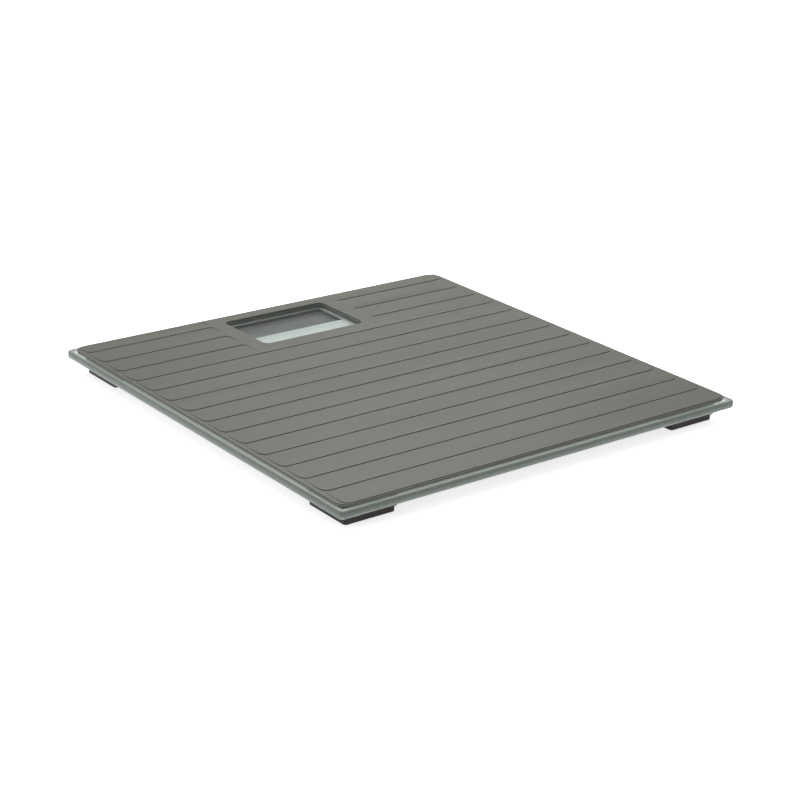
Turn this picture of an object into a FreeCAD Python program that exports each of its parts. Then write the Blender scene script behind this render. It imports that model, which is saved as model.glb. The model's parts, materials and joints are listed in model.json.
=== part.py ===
import FreeCAD, Part
import os
from math import pi

# Glass bathroom scale with a slatted mat, a recessed display under the glass and four sensing feet.
# Millimetres. The origin is on the floor under the middle of the scale; +Z is up, +Y points to the
# display end and +X runs along the slats of the mat.

Vector = FreeCAD.Vector
UP = Vector(0, 0, 1)

# ---- Glass platform ----
glass_width = 300.0
glass_depth = 300.0
glass_thickness = 5.0
glass_corner_radius = 3.0
glass_edge_chamfer = 0.8
cell_clearance = 6.3              # added to the coin cell to stand the glass above the floor

# ---- Mat on top of the glass ----
mat_inset = 3.0                   # glass edge to mat edge
mat_corner_radius = 8.0
mat_base_thickness = 1.35
film_thickness = 0.15             # adhesive film under the mat
film_inset = 1.0                  # mat edge to film edge
slat_count = 15
slat_rise = 0.5                   # height of a slat's front lip above the mat's border
slat_heel = 0.06                  # height of a slat's back edge above the border
slat_root = 0.3                   # how deep a slat is rooted in the mat
slat_side_margin = 3.0            # mat edge to the ends and the back of the slats
slat_front_margin = 1.1           # mat edge to the lip of the front slat
first_lip_distance = 14.0         # mat's back edge to the lip of the rear slat
slat_corner_radius = 5.0
surround_width = 102.0            # raised flat around the display window

# ---- Display window in the mat ----
window_width = 79.0
window_depth = 50.2
window_back_margin = 10.9         # mat's back edge to the window
window_corner_radius = 4.0
film_window_gap = 0.5             # the film stays this far back from the window

# ---- Electronics housing under the window ----
housing_width = 110.0
housing_depth = 68.0
housing_wall = 1.4
housing_floor = 1.0
housing_corner_radius = 5.0
housing_floor_height = 1.6        # floor of the room to the underside of the housing
tape_thickness = 0.3              # foam tape between the housing and the glass
tape_width = 2.5
bezel_thickness = 0.8

# ---- Liquid crystal display ----
view_width = 75.0                 # opening in the bezel
view_depth = 28.5
view_corner_radius = 0.6
view_offset = 10.25               # middle of the opening behind the middle of the window
gasket_height = 2.0
gasket_width = 3.0
gasket_gap = 0.05                 # gasket to the film and the ribbon below it
polariser_thickness = 0.15
polariser_border = 1.0
panel_thickness = 1.4
panel_border = 2.5
panel_rib = 1.0
panel_rib_gap = 0.3
panel_rib_cover = 0.8             # how far the rib stands up beside the panel
foam_border = 1.0
ribbon_width = 56.0
ribbon_thickness = 0.15
ribbon_lap = 2.3

# ---- Circuit board ----
board_width = 93.0
board_thickness = 0.8
board_corner_radius = 1.0
board_front_gap = 0.5
board_back_gap = 0.6
chip_side = 10.0
chip_height = 0.9
chip_x = -4.0
chip_from_front = 9.0
small_part_length = 2.0
small_part_width = 1.25
small_part_height = 0.6
small_part_columns = 5
small_part_rows = 2
small_part_pitch_x = 5.0
small_part_pitch_y = 4.5
small_part_x = 6.0
small_part_from_front = 5.5

# ---- Coin cell, contacts and door ----
cell_radius = 10.0
cell_height = 3.2
cell_x = 18.0
cell_gap = 0.4                    # cell to the front wall
cell_lift = 0.25                  # door to cell
cell_step_radius = 8.6
cell_step_height = 0.3
contact_thickness = 0.25
contact_width = 6.0
contact_foot = 3.0
contact_gap = 0.02
door_width = 24.0
door_length = 22.0
door_tongue = 1.0
door_tongue_height = 0.45
door_side_gap = 0.3
door_end_gap = 0.3
door_height_gap = 0.1
door_ridge_count = 5
door_ridge_pitch = 2.0
door_ridge_width = 0.8
door_ridge_height = 0.3
rail_overhang = 0.8
rail_foot = 1.2
rail_thickness = 0.8

# ---- Unit button and its switch ----
button_radius = 4.5
button_x = -22.0
button_gap = 0.2
button_drop = 0.4                 # how far the button stands below the housing
button_flange = 1.2
button_flange_thickness = 0.5
button_flange_gap = 0.1
button_stem_radius = 2.0
button_travel = 0.5
button_spare = 0.1                # room left between stem and plunger at full travel
switch_side = 6.0
switch_height = 1.5
plunger_radius = 1.5
plunger_height = 0.5

# ---- Screws ----
screw_head_radius = 1.9
screw_head_height = 1.2
screw_shank_radius = 0.85
screw_pilot_gap = 0.05
screw_clearance_gap = 0.3
screw_head_gap = 0.2
screw_slot_width = 0.5
screw_slot_depth = 0.4
housing_screw_length = 5.0
housing_screw_inset_x = 3.6       # from the inner wall
housing_screw_inset_y = 3.2
housing_boss_radius = 2.75
housing_boss_split = 1.4          # height of the lower boss above the housing floor
housing_screw_sink = 0.1
board_screw_length = 3.6
board_screw_head_height = 0.75
board_screw_inset = 4.5           # from the board's side edge
board_screw_from_front = 4.4
board_boss_radius = 2.2

# ---- Feet ----
foot_inset = 9.6                  # glass edge to the widest part of a foot cap
foot_width = 34.8                 # across the top of the cap
foot_taper = 0.2                  # per side, over the cap's height
foot_corner_radius = 2.0
foot_wall = 1.5
foot_floor = 2.0
cap_bottom = 0.6
cap_top = 6.5
boss_radius = 4.5
pad_margin = 3.9                  # top of the cap to the side of the pad
pad_corner_radius = 3.0
pad_recess = 0.8
pad_gap = 0.1
foot_travel = 0.5
foot_spare = 0.15                 # room left above the boss at full travel
snap_width = 7.0
snap_reach = 1.1
snap_height = 0.9
snap_side_gap = 0.5
snap_low_gap = 0.2
snap_high_gap = 0.3
snap_bar = 0.8

bracket_gap = 0.3                 # cap to bracket
bracket_wall = 1.1
bracket_plate = 0.8
bracket_tape_thickness = 0.15
bracket_tape_inset = 1.2
bracket_window = 18.0             # opening over the sensor's tongue
sensor_margin = 2.4               # top of the cap to the side of the sensor
sensor_thickness = 1.2
sensor_corner_radius = 2.0
sensor_bottom = 5.85
sensor_seat = 1.8                 # width of the seat under the bracket's rib
tongue_width = 13.0
tongue_length = 18.0
slot_width = 1.6
stake_radius = 1.0
stake_gap = 0.1
stake_inset = 2.6                 # sensor edge to the middle of a stake
stake_head_radius = 1.7
stake_head_height = 0.6
stake_boss_radius = 2.0
gauge_length = 9.0
gauge_width = 6.0
gauge_height = 0.55
gauge_x = 3.5

# ---- Cables ----
cable_radius = 0.6
cable_bend = 10.0
cable_lift = 0.02                 # cable above the circuit board
cable_gap = 0.4                   # cable to the sides of a notch
cable_front_lane = 84.0
cable_back_lane = 72.0
cable_front_entry = 10.2          # from the housing's inner front wall
cable_back_entry = 16.8
cable_end_x = 42.0
cable_solder_gap = 0.3
clip_length = 4.0
clip_width = 5.0
clip_floor = 0.9
clip_gap = 0.1
clip_lane_places = (-50.0, 30.0)  # along the front cables' lanes
clip_from_foot = 25.0             # from the middle of a front foot
clip_from_back_foot = 33.0

# ---- Places worked out from the sizes above ----
glass_bottom = cell_height + cell_clearance
glass_top = glass_bottom + glass_thickness
mat_bottom = glass_top + film_thickness
mat_border = mat_bottom + mat_base_thickness
mat_top = mat_border + slat_rise
mat_half_x = glass_width / 2 - mat_inset
mat_half_y = glass_depth / 2 - mat_inset
slat_half_x = mat_half_x - slat_side_margin
slat_back_y = mat_half_y - slat_side_margin
first_lip_y = mat_half_y - first_lip_distance
last_lip_y = -mat_half_y + slat_front_margin
slat_pitch = (first_lip_y - last_lip_y) / (slat_count - 1)
window_y = mat_half_y - window_back_margin - window_depth / 2
window_front_y = window_y - window_depth / 2

housing_y = window_y
bezel_top = glass_bottom - tape_thickness
bezel_bottom = bezel_top - bezel_thickness
floor_top = housing_floor_height + housing_floor
inner_half_x = housing_width / 2 - housing_wall
inner_front = housing_y - housing_depth / 2 + housing_wall
inner_back = housing_y + housing_depth / 2 - housing_wall

view_y = window_y + view_offset
gasket_bottom = bezel_bottom - gasket_height
film_top = gasket_bottom - gasket_gap
panel_top = film_top - polariser_thickness
panel_bottom = panel_top - panel_thickness
panel_front = view_y - view_depth / 2 - panel_border - foam_border
panel_back = view_y + view_depth / 2 + panel_border
board_bottom = panel_top + ribbon_thickness
board_top = board_bottom + board_thickness
board_front = inner_front + board_front_gap
board_back = view_y - view_depth / 2 - gasket_width - board_back_gap

cell_y = inner_front + cell_gap + cell_radius
cell_bottom = floor_top + cell_lift
cell_top = cell_bottom + cell_height
outer_front = housing_y - housing_depth / 2
door_top = floor_top
tongue_bottom = door_top - door_tongue_height
switch_bottom = board_bottom - switch_height
plunger_tip = switch_bottom - plunger_height
stem_top = plunger_tip - button_travel - button_spare

foot_half = foot_width / 2
pad_width = foot_width - 2 * pad_margin
sensor_side = foot_width - 2 * sensor_margin
foot_x = glass_width / 2 - foot_inset - foot_half
foot_y = glass_depth / 2 - foot_inset - foot_half
bracket_inner = foot_half + bracket_gap
bracket_outer = bracket_inner + bracket_wall
bracket_top = glass_bottom - bracket_tape_thickness
bracket_ceiling = bracket_top - bracket_plate
sensor_top = sensor_bottom + sensor_thickness
snap_bottom = cap_top - snap_height
bracket_bottom = snap_bottom - snap_low_gap - snap_bar
cable_height = board_top + cable_radius + cable_lift


def box(x0, x1, y0, y1, z0, z1):
    return Part.makeBox(x1 - x0, y1 - y0, z1 - z0, Vector(x0, y0, z0))


def disc(x, y, radius, z0, z1):
    return Part.makeCylinder(radius, z1 - z0, Vector(x, y, z0), UP)


def rounded_wire(width, depth, radius, z, x=0.0, y=0.0):
    """Closed outline of a rectangle with quarter-circle corners."""
    hx, hy = width / 2, depth / 2
    r = radius
    k = r * (1 - 0.5 ** 0.5)
    edges = []
    corners = ((1, -1), (1, 1), (-1, 1), (-1, -1))
    points = []
    for index, (sx, sy) in enumerate(corners):
        along_y = Vector(x + sx * hx, y + sy * (hy - r), z)
        along_x = Vector(x + sx * (hx - r), y + sy * hy, z)
        middle = Vector(x + sx * (hx - k), y + sy * (hy - k), z)
        first, last = (along_x, along_y) if index % 2 == 0 else (along_y, along_x)
        points.append((first, middle, last))
    for index, (first, middle, last) in enumerate(points):
        edges.append(Part.Arc(first, middle, last).toShape())
        edges.append(Part.LineSegment(last, points[(index + 1) % 4][0]).toShape())
    return Part.Wire(edges)


def rounded_block(width, depth, radius, z0, z1, x=0.0, y=0.0):
    face = Part.Face(rounded_wire(width, depth, radius, z0, x, y))
    return face.extrude(Vector(0, 0, z1 - z0))


def tapered_block(low_width, high_width, low_radius, high_radius, z0, z1):
    wires = [rounded_wire(low_width, low_width, low_radius, z0),
             rounded_wire(high_width, high_width, high_radius, z1)]
    return Part.makeLoft(wires, True, True)


def frame_block(width, depth, radius, rim, z0, z1, x=0.0, y=0.0):
    """Rounded rectangle with a rounded hole, leaving a rim of even width."""
    outer = rounded_block(width, depth, radius, z0, z1, x, y)
    return outer.cut(rounded_block(width - 2 * rim, depth - 2 * rim, radius - rim, z0, z1, x, y))


def fuse(first, *others):
    return first.multiFuse(list(others)).removeSplitter()


# ---- Platform and mat ----

def glass_platform():
    plate = rounded_block(glass_width, glass_depth, glass_corner_radius, glass_bottom, glass_top)
    rims = []
    for edge in plate.Edges:
        heights = [vertex.Z for vertex in edge.Vertexes]
        if max(heights) - min(heights) < 1e-6:
            rims.append(edge)
    return plate.makeChamfer(glass_edge_chamfer, rims)


def window_cutter(growth, z0, z1):
    return rounded_block(window_width + 2 * growth, window_depth + 2 * growth,
                         window_corner_radius, z0, z1, 0, window_y)


def mat_adhesive_film():
    width = 2 * (mat_half_x - film_inset)
    depth = 2 * (mat_half_y - film_inset)
    film = rounded_block(width, depth, mat_corner_radius - film_inset, glass_top, mat_bottom)
    return film.cut(window_cutter(film_window_gap, glass_top, mat_bottom))


def slat(x0, x1, lip_y, heel_y, round_left, round_right):
    """Wedge that rises from its heel at the back to a lip at the front.

    The lip's outer ends are rounded in plan.
    """
    low = mat_border - slat_root
    profile = [Vector(x0, heel_y, low), Vector(x0, lip_y, low),
               Vector(x0, lip_y, mat_top), Vector(x0, heel_y, mat_border + slat_heel)]
    wedge = Part.Face(Part.makePolygon(profile + profile[:1])).extrude(Vector(x1 - x0, 0, 0))
    r = slat_corner_radius
    for wanted, corner_x, side in ((round_left, x0, 1), (round_right, x1, -1)):
        if wanted:
            square = box(min(corner_x, corner_x + side * r), max(corner_x, corner_x + side * r),
                         lip_y, lip_y + r, low, mat_top)
            wedge = wedge.cut(square.cut(disc(corner_x + side * r, lip_y + r, r, low, mat_top)))
    return wedge


def top_mat():
    base = rounded_block(2 * mat_half_x, 2 * mat_half_y, mat_corner_radius, mat_bottom, mat_border)
    lips = [first_lip_y - index * slat_pitch for index in range(slat_count)]
    beside_window = [lip for lip in lips if lip > window_front_y]
    surround_front = lips[len(beside_window)]
    half = surround_width / 2
    pieces = [box(-half, half, surround_front, slat_back_y, mat_border - slat_root, mat_top)]
    heel = slat_back_y
    for lip in lips:
        if lip in beside_window:
            pieces.append(slat(-slat_half_x, -half, lip, heel, True, False))
            pieces.append(slat(half, slat_half_x, lip, heel, False, True))
        else:
            pieces.append(slat(-slat_half_x, slat_half_x, lip, heel, True, True))
        heel = lip
    mat = fuse(base, *pieces)
    return mat.cut(window_cutter(0, mat_bottom, mat_top))


# ---- Housing ----

def housing_screw_places():
    x = inner_half_x - housing_screw_inset_x
    return [(sx * x, y) for sx in (-1, 1)
            for y in (inner_front + housing_screw_inset_y, inner_back - housing_screw_inset_y)]


def board_screw_places():
    x = board_width / 2 - board_screw_inset
    return [(sx * x, inner_front + board_screw_from_front) for sx in (-1, 1)]


def cable_entries():
    return (inner_front + cable_front_entry, inner_front + cable_back_entry)


def housing_tape():
    return frame_block(housing_width, housing_depth, housing_corner_radius, tape_width,
                       bezel_top, glass_bottom, 0, housing_y)


def display_bezel():
    shell = rounded_block(housing_width, housing_depth, housing_corner_radius,
                          bezel_bottom, bezel_top, 0, housing_y)
    shell = shell.cut(rounded_block(view_width, view_depth, view_corner_radius,
                                    bezel_bottom, bezel_top, 0, view_y))
    boss_bottom = floor_top + housing_boss_split
    bosses = [disc(x, y, housing_boss_radius, boss_bottom, bezel_bottom)
              for x, y in housing_screw_places()]
    shell = fuse(shell, *bosses)
    for x, y in housing_screw_places():
        shell = shell.cut(disc(x, y, screw_shank_radius + screw_pilot_gap,
                               boss_bottom, bezel_bottom))
    return shell


def door_opening():
    """Room for the door and its tongues in the housing's floor and front wall."""
    plate = door_width / 2 + door_side_gap
    tongues = plate + door_tongue
    back = outer_front + door_length + door_end_gap
    ledge = tongue_bottom - door_height_gap
    low = box(cell_x - plate, cell_x + plate, outer_front, back, housing_floor_height, ledge)
    high = box(cell_x - tongues, cell_x + tongues, outer_front, back,
               ledge, floor_top + door_height_gap)
    return fuse(low, high)


def door_rail(side):
    """Angle-section rail that keeps one tongue of the door down on its ledge."""
    reach = door_width / 2 + door_side_gap + door_tongue
    inner = reach - rail_overhang - door_side_gap
    back = outer_front + door_length
    lip_bottom = floor_top + door_height_gap
    edges = sorted((cell_x + side * reach, cell_x + side * (reach + rail_foot)))
    foot = box(edges[0], edges[1], inner_front, back, floor_top, lip_bottom + rail_thickness)
    edges = sorted((cell_x + side * inner, cell_x + side * (reach + rail_foot)))
    lip = box(edges[0], edges[1], inner_front, back, lip_bottom, lip_bottom + rail_thickness)
    return fuse(foot, lip)


def panel_ribs():
    """Low wall on three sides of the display panel."""
    inner_x = view_width / 2 + panel_border + panel_rib_gap
    inner_y = panel_back + panel_rib_gap
    top = panel_bottom + panel_rib_cover
    front = panel_front + foam_border
    back = inner_y + panel_rib
    outer_x = inner_x + panel_rib
    return [box(-outer_x, -inner_x, front, back, floor_top, top),
            box(inner_x, outer_x, front, back, floor_top, top),
            box(-outer_x, outer_x, inner_y, back, floor_top, top)]


def housing_base():
    tray = rounded_block(housing_width, housing_depth, housing_corner_radius,
                         housing_floor_height, bezel_bottom, 0, housing_y)
    hollow = rounded_block(2 * inner_half_x, housing_depth - 2 * housing_wall,
                           housing_corner_radius - housing_wall,
                           floor_top, bezel_bottom, 0, housing_y)
    tray = tray.cut(hollow).cut(door_opening())
    additions = [door_rail(-1), door_rail(1)] + panel_ribs()
    additions += [disc(x, y, housing_boss_radius, floor_top, floor_top + housing_boss_split)
                  for x, y in housing_screw_places()]
    additions += [disc(x, y, board_boss_radius, floor_top, board_bottom)
                  for x, y in board_screw_places()]
    tray = fuse(tray, *additions)
    head_seat = housing_floor_height + housing_screw_sink + screw_head_height
    for x, y in housing_screw_places():
        through = disc(x, y, screw_shank_radius + screw_clearance_gap,
                       housing_floor_height, floor_top + housing_boss_split)
        sink = disc(x, y, screw_head_radius + screw_head_gap, housing_floor_height, head_seat)
        tray = tray.cut(fuse(through, sink))
    for x, y in board_screw_places():
        tray = tray.cut(disc(x, y, screw_shank_radius + screw_pilot_gap,
                             board_bottom - board_screw_length, board_bottom))
    half = cable_radius + cable_gap
    notch_bottom = cable_height - half
    for y in cable_entries():
        for side in (-1, 1):
            edges = sorted((side * inner_half_x, side * housing_width / 2))
            tray = tray.cut(box(edges[0], edges[1], y - half, y + half,
                                notch_bottom, bezel_bottom))
    return tray.cut(disc(button_x, cell_y, button_radius + button_gap,
                         housing_floor_height, floor_top))


def slotted_screw(x, y, head_height, length, seat, down):
    """Screw with its head on one side of the seat plane and its shank on the other."""
    if down:
        head = disc(x, y, screw_head_radius, seat, seat + head_height)
        shank = disc(x, y, screw_shank_radius, seat - length, seat)
        slot_low = seat + head_height - screw_slot_depth
    else:
        head = disc(x, y, screw_head_radius, seat - head_height, seat)
        shank = disc(x, y, screw_shank_radius, seat, seat + length)
        slot_low = seat - head_height
    slot = box(x - screw_head_radius, x + screw_head_radius,
               y - screw_slot_width / 2, y + screw_slot_width / 2,
               slot_low, slot_low + screw_slot_depth)
    return fuse(head, shank).cut(slot)


def housing_screws():
    seat = housing_floor_height + housing_screw_sink + screw_head_height
    return Part.makeCompound([slotted_screw(x, y, screw_head_height, housing_screw_length,
                                            seat, False)
                              for x, y in housing_screw_places()])


def board_screws():
    length = board_screw_length - board_screw_head_height + board_thickness
    return Part.makeCompound([slotted_screw(x, y, board_screw_head_height, length,
                                            board_top, True)
                              for x, y in board_screw_places()])


# ---- Display ----

def lcd_gasket():
    ring = rounded_block(view_width + 2 * gasket_width, view_depth + 2 * gasket_width,
                         view_corner_radius, gasket_bottom, bezel_bottom, 0, view_y)
    return ring.cut(rounded_block(view_width, view_depth, view_corner_radius,
                                  gasket_bottom, bezel_bottom, 0, view_y))


def lcd_polariser():
    return rounded_block(view_width + 2 * polariser_border, view_depth + 2 * polariser_border,
                         view_corner_radius, panel_top, film_top, 0, view_y)


def lcd_panel():
    half_x = view_width / 2 + panel_border
    return box(-half_x, half_x, panel_front, panel_back, panel_bottom, panel_top)


def lcd_foam_pad():
    half_x = view_width / 2 - foam_border
    half_y = view_depth / 2 - foam_border
    return box(-half_x, half_x, view_y - half_y, view_y + half_y, floor_top, panel_bottom)


def lcd_ribbon():
    half = ribbon_width / 2
    return box(-half, half, board_back - ribbon_lap, panel_front + ribbon_lap,
               panel_top, board_bottom)


# ---- Board ----

def circuit_board():
    depth = board_back - board_front
    board = rounded_block(board_width, depth, board_corner_radius,
                          board_bottom, board_top, 0, board_front + depth / 2)
    for x, y in board_screw_places():
        board = board.cut(disc(x, y, screw_shank_radius + screw_clearance_gap,
                               board_bottom, board_top))
    return board


def controller_chip():
    y = board_front + chip_from_front
    return rounded_block(chip_side, chip_side, chip_side / 4,
                         board_top, board_top + chip_height, chip_x, y)


def board_components():
    pieces = []
    for column in range(small_part_columns):
        for row in range(small_part_rows):
            x = small_part_x + column * small_part_pitch_x
            y = board_front + small_part_from_front + row * small_part_pitch_y
            pieces.append(box(x, x + small_part_length, y, y + small_part_width,
                              board_top, board_top + small_part_height))
    return Part.makeCompound(pieces)


def tact_switch():
    half = switch_side / 2
    body = box(button_x - half, button_x + half, cell_y - half, cell_y + half,
               switch_bottom, board_bottom)
    return fuse(body, disc(button_x, cell_y, plunger_radius, plunger_tip, switch_bottom))


def unit_button():
    flange_bottom = floor_top + button_flange_gap
    cap = disc(button_x, cell_y, button_radius, housing_floor_height - button_drop, flange_bottom)
    flange = disc(button_x, cell_y, button_radius + button_flange,
                  flange_bottom, flange_bottom + button_flange_thickness)
    stem = disc(button_x, cell_y, button_stem_radius,
                flange_bottom + button_flange_thickness, stem_top)
    return fuse(cap, flange, stem)


# ---- Coin cell ----

def coin_cell():
    can = disc(cell_x, cell_y, cell_radius, cell_bottom, cell_top - cell_step_height)
    return fuse(can, disc(cell_x, cell_y, cell_step_radius, cell_top - cell_step_height, cell_top))


def battery_contact_negative():
    half = contact_width / 2
    return box(cell_x - half, cell_x + half, cell_y - half, cell_y + half,
               board_bottom - contact_thickness, board_bottom)


def battery_contact_positive():
    half = contact_width / 2
    wall = cell_x + cell_radius + contact_gap
    blade = box(wall, wall + contact_thickness, cell_y - half, cell_y + half,
                cell_bottom + contact_thickness, board_bottom)
    foot = box(wall, wall + contact_foot, cell_y - half, cell_y + half,
               board_bottom - contact_thickness, board_bottom)
    return fuse(blade, foot)


def battery_door():
    half = door_width / 2
    back = outer_front + door_length
    plate = box(cell_x - half, cell_x + half, outer_front, back, housing_floor_height, door_top)
    tongues = box(cell_x - half - door_tongue, cell_x + half + door_tongue,
                  outer_front + housing_wall, back, tongue_bottom, door_top)
    door = fuse(plate, tongues)
    for index in range(door_ridge_count):
        y = outer_front + door_ridge_pitch * (index + 1)
        door = door.cut(box(cell_x - half / 2, cell_x + half / 2, y, y + door_ridge_width,
                            housing_floor_height, housing_floor_height + door_ridge_height))
    return door


# ---- Feet, made about the middle of a foot with the cable leaving towards -X ----

def foot_pad():
    return rounded_block(pad_width, pad_width, pad_corner_radius, 0, cap_bottom + pad_recess)


def foot_cap():
    low = foot_width - 2 * foot_taper
    low_radius = foot_corner_radius - foot_taper
    cap = tapered_block(low, foot_width, low_radius, foot_corner_radius, cap_bottom, cap_top)
    cavity_low = cap_bottom + foot_floor
    grow = 2 * foot_taper * foot_floor / (cap_top - cap_bottom)
    cavity = tapered_block(low + grow - 2 * foot_wall, foot_width - 2 * foot_wall,
                           low_radius, foot_corner_radius - foot_wall, cavity_low, cap_top)
    cap = cap.cut(cavity)
    cap = cap.cut(rounded_block(pad_width + 2 * pad_gap, pad_width + 2 * pad_gap,
                                pad_corner_radius, cap_bottom, cap_bottom + pad_recess))
    boss_top = sensor_bottom - foot_travel - foot_spare
    snaps = [box(-snap_width / 2, snap_width / 2,
                 min(side * (foot_half - foot_wall / 2), side * (foot_half + snap_reach)),
                 max(side * (foot_half - foot_wall / 2), side * (foot_half + snap_reach)),
                 snap_bottom, cap_top) for side in (-1, 1)]
    return fuse(cap, disc(0, 0, boss_radius, cavity_low, boss_top), *snaps)


def stake_places():
    reach = sensor_side / 2 - stake_inset
    return [(sx * reach, sy * reach) for sx in (-1, 1) for sy in (-1, 1)]


def foot_bracket():
    outer = 2 * bracket_outer
    outer_radius = foot_corner_radius + bracket_gap + bracket_wall
    bracket = rounded_block(outer, outer, outer_radius, bracket_bottom, bracket_top)
    bracket = bracket.cut(rounded_block(2 * bracket_inner, 2 * bracket_inner,
                                        foot_corner_radius + bracket_gap,
                                        bracket_bottom, bracket_ceiling))
    seat_inner = sensor_side - 2 * sensor_seat
    rib = rounded_block(2 * bracket_inner, 2 * bracket_inner, foot_corner_radius + bracket_gap,
                        sensor_top, bracket_ceiling)
    rib = rib.cut(rounded_block(seat_inner, seat_inner, sensor_corner_radius,
                                sensor_top, bracket_ceiling))
    parts = [rib]
    for x, y in stake_places():
        parts.append(disc(x, y, stake_boss_radius, sensor_top, bracket_ceiling))
        parts.append(disc(x, y, stake_radius, sensor_bottom, sensor_top))
        parts.append(disc(x, y, stake_head_radius, sensor_bottom - stake_head_height,
                          sensor_bottom))
    bracket = fuse(bracket, *parts)
    half_window = bracket_window / 2
    bracket = bracket.cut(box(-half_window, half_window, -half_window / 2, half_window / 2,
                              bracket_ceiling, bracket_top))
    slot_half = snap_width / 2 + snap_side_gap
    slot_top = cap_top + foot_travel + snap_high_gap
    for side in (-1, 1):
        edges = sorted((side * bracket_inner, side * bracket_outer))
        bracket = bracket.cut(box(-slot_half, slot_half, edges[0], edges[1],
                                  snap_bottom - snap_low_gap, slot_top))
    notch = cable_radius + cable_gap
    return bracket.cut(box(-bracket_outer, -seat_inner / 2 + notch, -notch, notch,
                           sensor_top, bracket_ceiling))


def bracket_tape():
    side = 2 * (bracket_outer - bracket_tape_inset)
    half_window = bracket_window / 2
    tape = rounded_block(side, side, foot_corner_radius, bracket_top, glass_bottom)
    return tape.cut(box(-half_window, half_window, -half_window, half_window,
                        bracket_top, glass_bottom))


def load_cell():
    plate = rounded_block(sensor_side, sensor_side, sensor_corner_radius,
                          sensor_bottom, sensor_top)
    inner, outer = tongue_width / 2, tongue_width / 2 + slot_width
    free_end = -tongue_length / 2
    root = tongue_length / 2
    for low, high in ((-outer, -inner), (inner, outer)):
        plate = plate.cut(box(free_end - slot_width, root, low, high, sensor_bottom, sensor_top))
    plate = plate.cut(box(free_end - slot_width, free_end, -outer, outer,
                          sensor_bottom, sensor_top))
    for x, y in stake_places():
        plate = plate.cut(disc(x, y, stake_radius + stake_gap, sensor_bottom, sensor_top))
    return plate


def strain_gauge():
    return rounded_block(gauge_length, gauge_width, gauge_width / 4,
                         sensor_top, sensor_top + gauge_height, gauge_x, 0)


# ---- Cables ----

def route_wire(points, bend):
    """Straight runs joined by tangent arcs in one level plane."""
    edges = []
    start = points[0]
    for index in range(1, len(points) - 1):
        corner = points[index]
        back = (points[index - 1] - corner).normalize()
        ahead = (points[index + 1] - corner).normalize()
        enter = corner + back * bend
        leave = corner + ahead * bend
        centre = enter + ahead * bend
        middle = centre + (corner - centre).normalize() * bend
        edges.append(Part.LineSegment(start, enter).toShape())
        edges.append(Part.Arc(enter, middle, leave).toShape())
        start = leave
    edges.append(Part.LineSegment(start, points[-1]).toShape())
    return Part.Wire(edges)


def cable(side, end):
    """Cable from a foot's sensor to the circuit board; end is -1 at the front, 1 at the back."""
    lane = cable_front_lane if end < 0 else cable_back_lane
    entry = cable_entries()[0 if end < 0 else 1]
    start_x = foot_x + gauge_x - gauge_length / 2 - cable_solder_gap
    points = [Vector(side * x, y, cable_height)
              for x, y in ((start_x, end * foot_y), (lane, end * foot_y),
                           (lane, entry), (cable_end_x, entry))]
    path = route_wire(points, cable_bend)
    section = Part.Wire(Part.makeCircle(cable_radius, points[0], Vector(-side, 0, 0)))
    tube = path.makePipeShell([section], True, True)
    expected = pi * cable_radius ** 2 * path.Length
    print("cable length %.1f mm, volume over section times length %.4f"
          % (path.Length, tube.Volume / expected))
    return tube


def cable_clip(x, y, along_x):
    """Saddle glued to the underside of the glass, with a hole for the cable."""
    half_x, half_y = clip_width / 2, clip_length / 2
    axis = Vector(0, 1, 0)
    if along_x:
        half_x, half_y = half_y, half_x
        axis = Vector(1, 0, 0)
    block = box(x - half_x, x + half_x, y - half_y, y + half_y,
                cable_height - clip_floor, glass_bottom)
    hole = Part.makeCylinder(cable_radius + clip_gap, clip_length,
                             Vector(x, y, cable_height) - axis * (clip_length / 2), axis)
    return block.cut(hole)


def cable_clips():
    clips = []
    for side in (-1, 1):
        clips += [cable_clip(side * cable_front_lane, y, False) for y in clip_lane_places]
        clips.append(cable_clip(side * (foot_x - clip_from_foot), -foot_y, True))
        clips.append(cable_clip(side * (foot_x - clip_from_back_foot), foot_y, True))
    return Part.makeCompound(clips)


# ---- Build and write ----

def placed(shape, side, end):
    """A foot's piece moved to its corner; on the left it is turned so the cable leaves inwards."""
    moved = shape.copy()
    if side < 0:
        moved.rotate(Vector(0, 0, 0), UP, 180)
    moved.translate(Vector(side * foot_x, end * foot_y, 0))
    return moved


def build_all():
    shapes = {}
    for maker in (glass_platform, mat_adhesive_film, top_mat, housing_tape, display_bezel,
                  housing_base, lcd_gasket, lcd_polariser, lcd_panel, lcd_foam_pad, lcd_ribbon,
                  circuit_board, controller_chip, board_components, tact_switch, unit_button,
                  coin_cell, battery_contact_negative, battery_contact_positive, battery_door,
                  housing_screws, board_screws, cable_clips):
        shapes[maker.__name__] = maker()
    corners = {"front_left": (-1, -1), "front_right": (1, -1),
               "back_left": (-1, 1), "back_right": (1, 1)}
    for maker in (foot_bracket, bracket_tape, load_cell, strain_gauge, foot_cap, foot_pad):
        local = maker()
        for corner, (side, end) in corners.items():
            shapes["%s_%s" % (maker.__name__, corner)] = placed(local, side, end)
    for corner, (side, end) in corners.items():
        shapes["cable_%s" % corner] = cable(side, end)
    return shapes


os.makedirs("parts", exist_ok=True)
for name, shape in build_all().items():
    if not shape.isValid():
        raise RuntimeError("%s is not a valid shape" % name)
    shape.exportStep("parts/%s.step" % name)
    print("%-28s solids %d volume %.1f mm3" % (name, len(shape.Solids), shape.Volume))
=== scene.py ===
"""Looks of a glass bathroom scale: its pieces, finishes, light and camera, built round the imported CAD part.

Metres, in the frame of the CAD part: the origin is on the floor under the middle of the scale, +Z is up,
+Y points to the display end and +X runs along the slats of the mat.
"""

import json
import logging
import math
from dataclasses import dataclass
from enum import Enum

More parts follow.
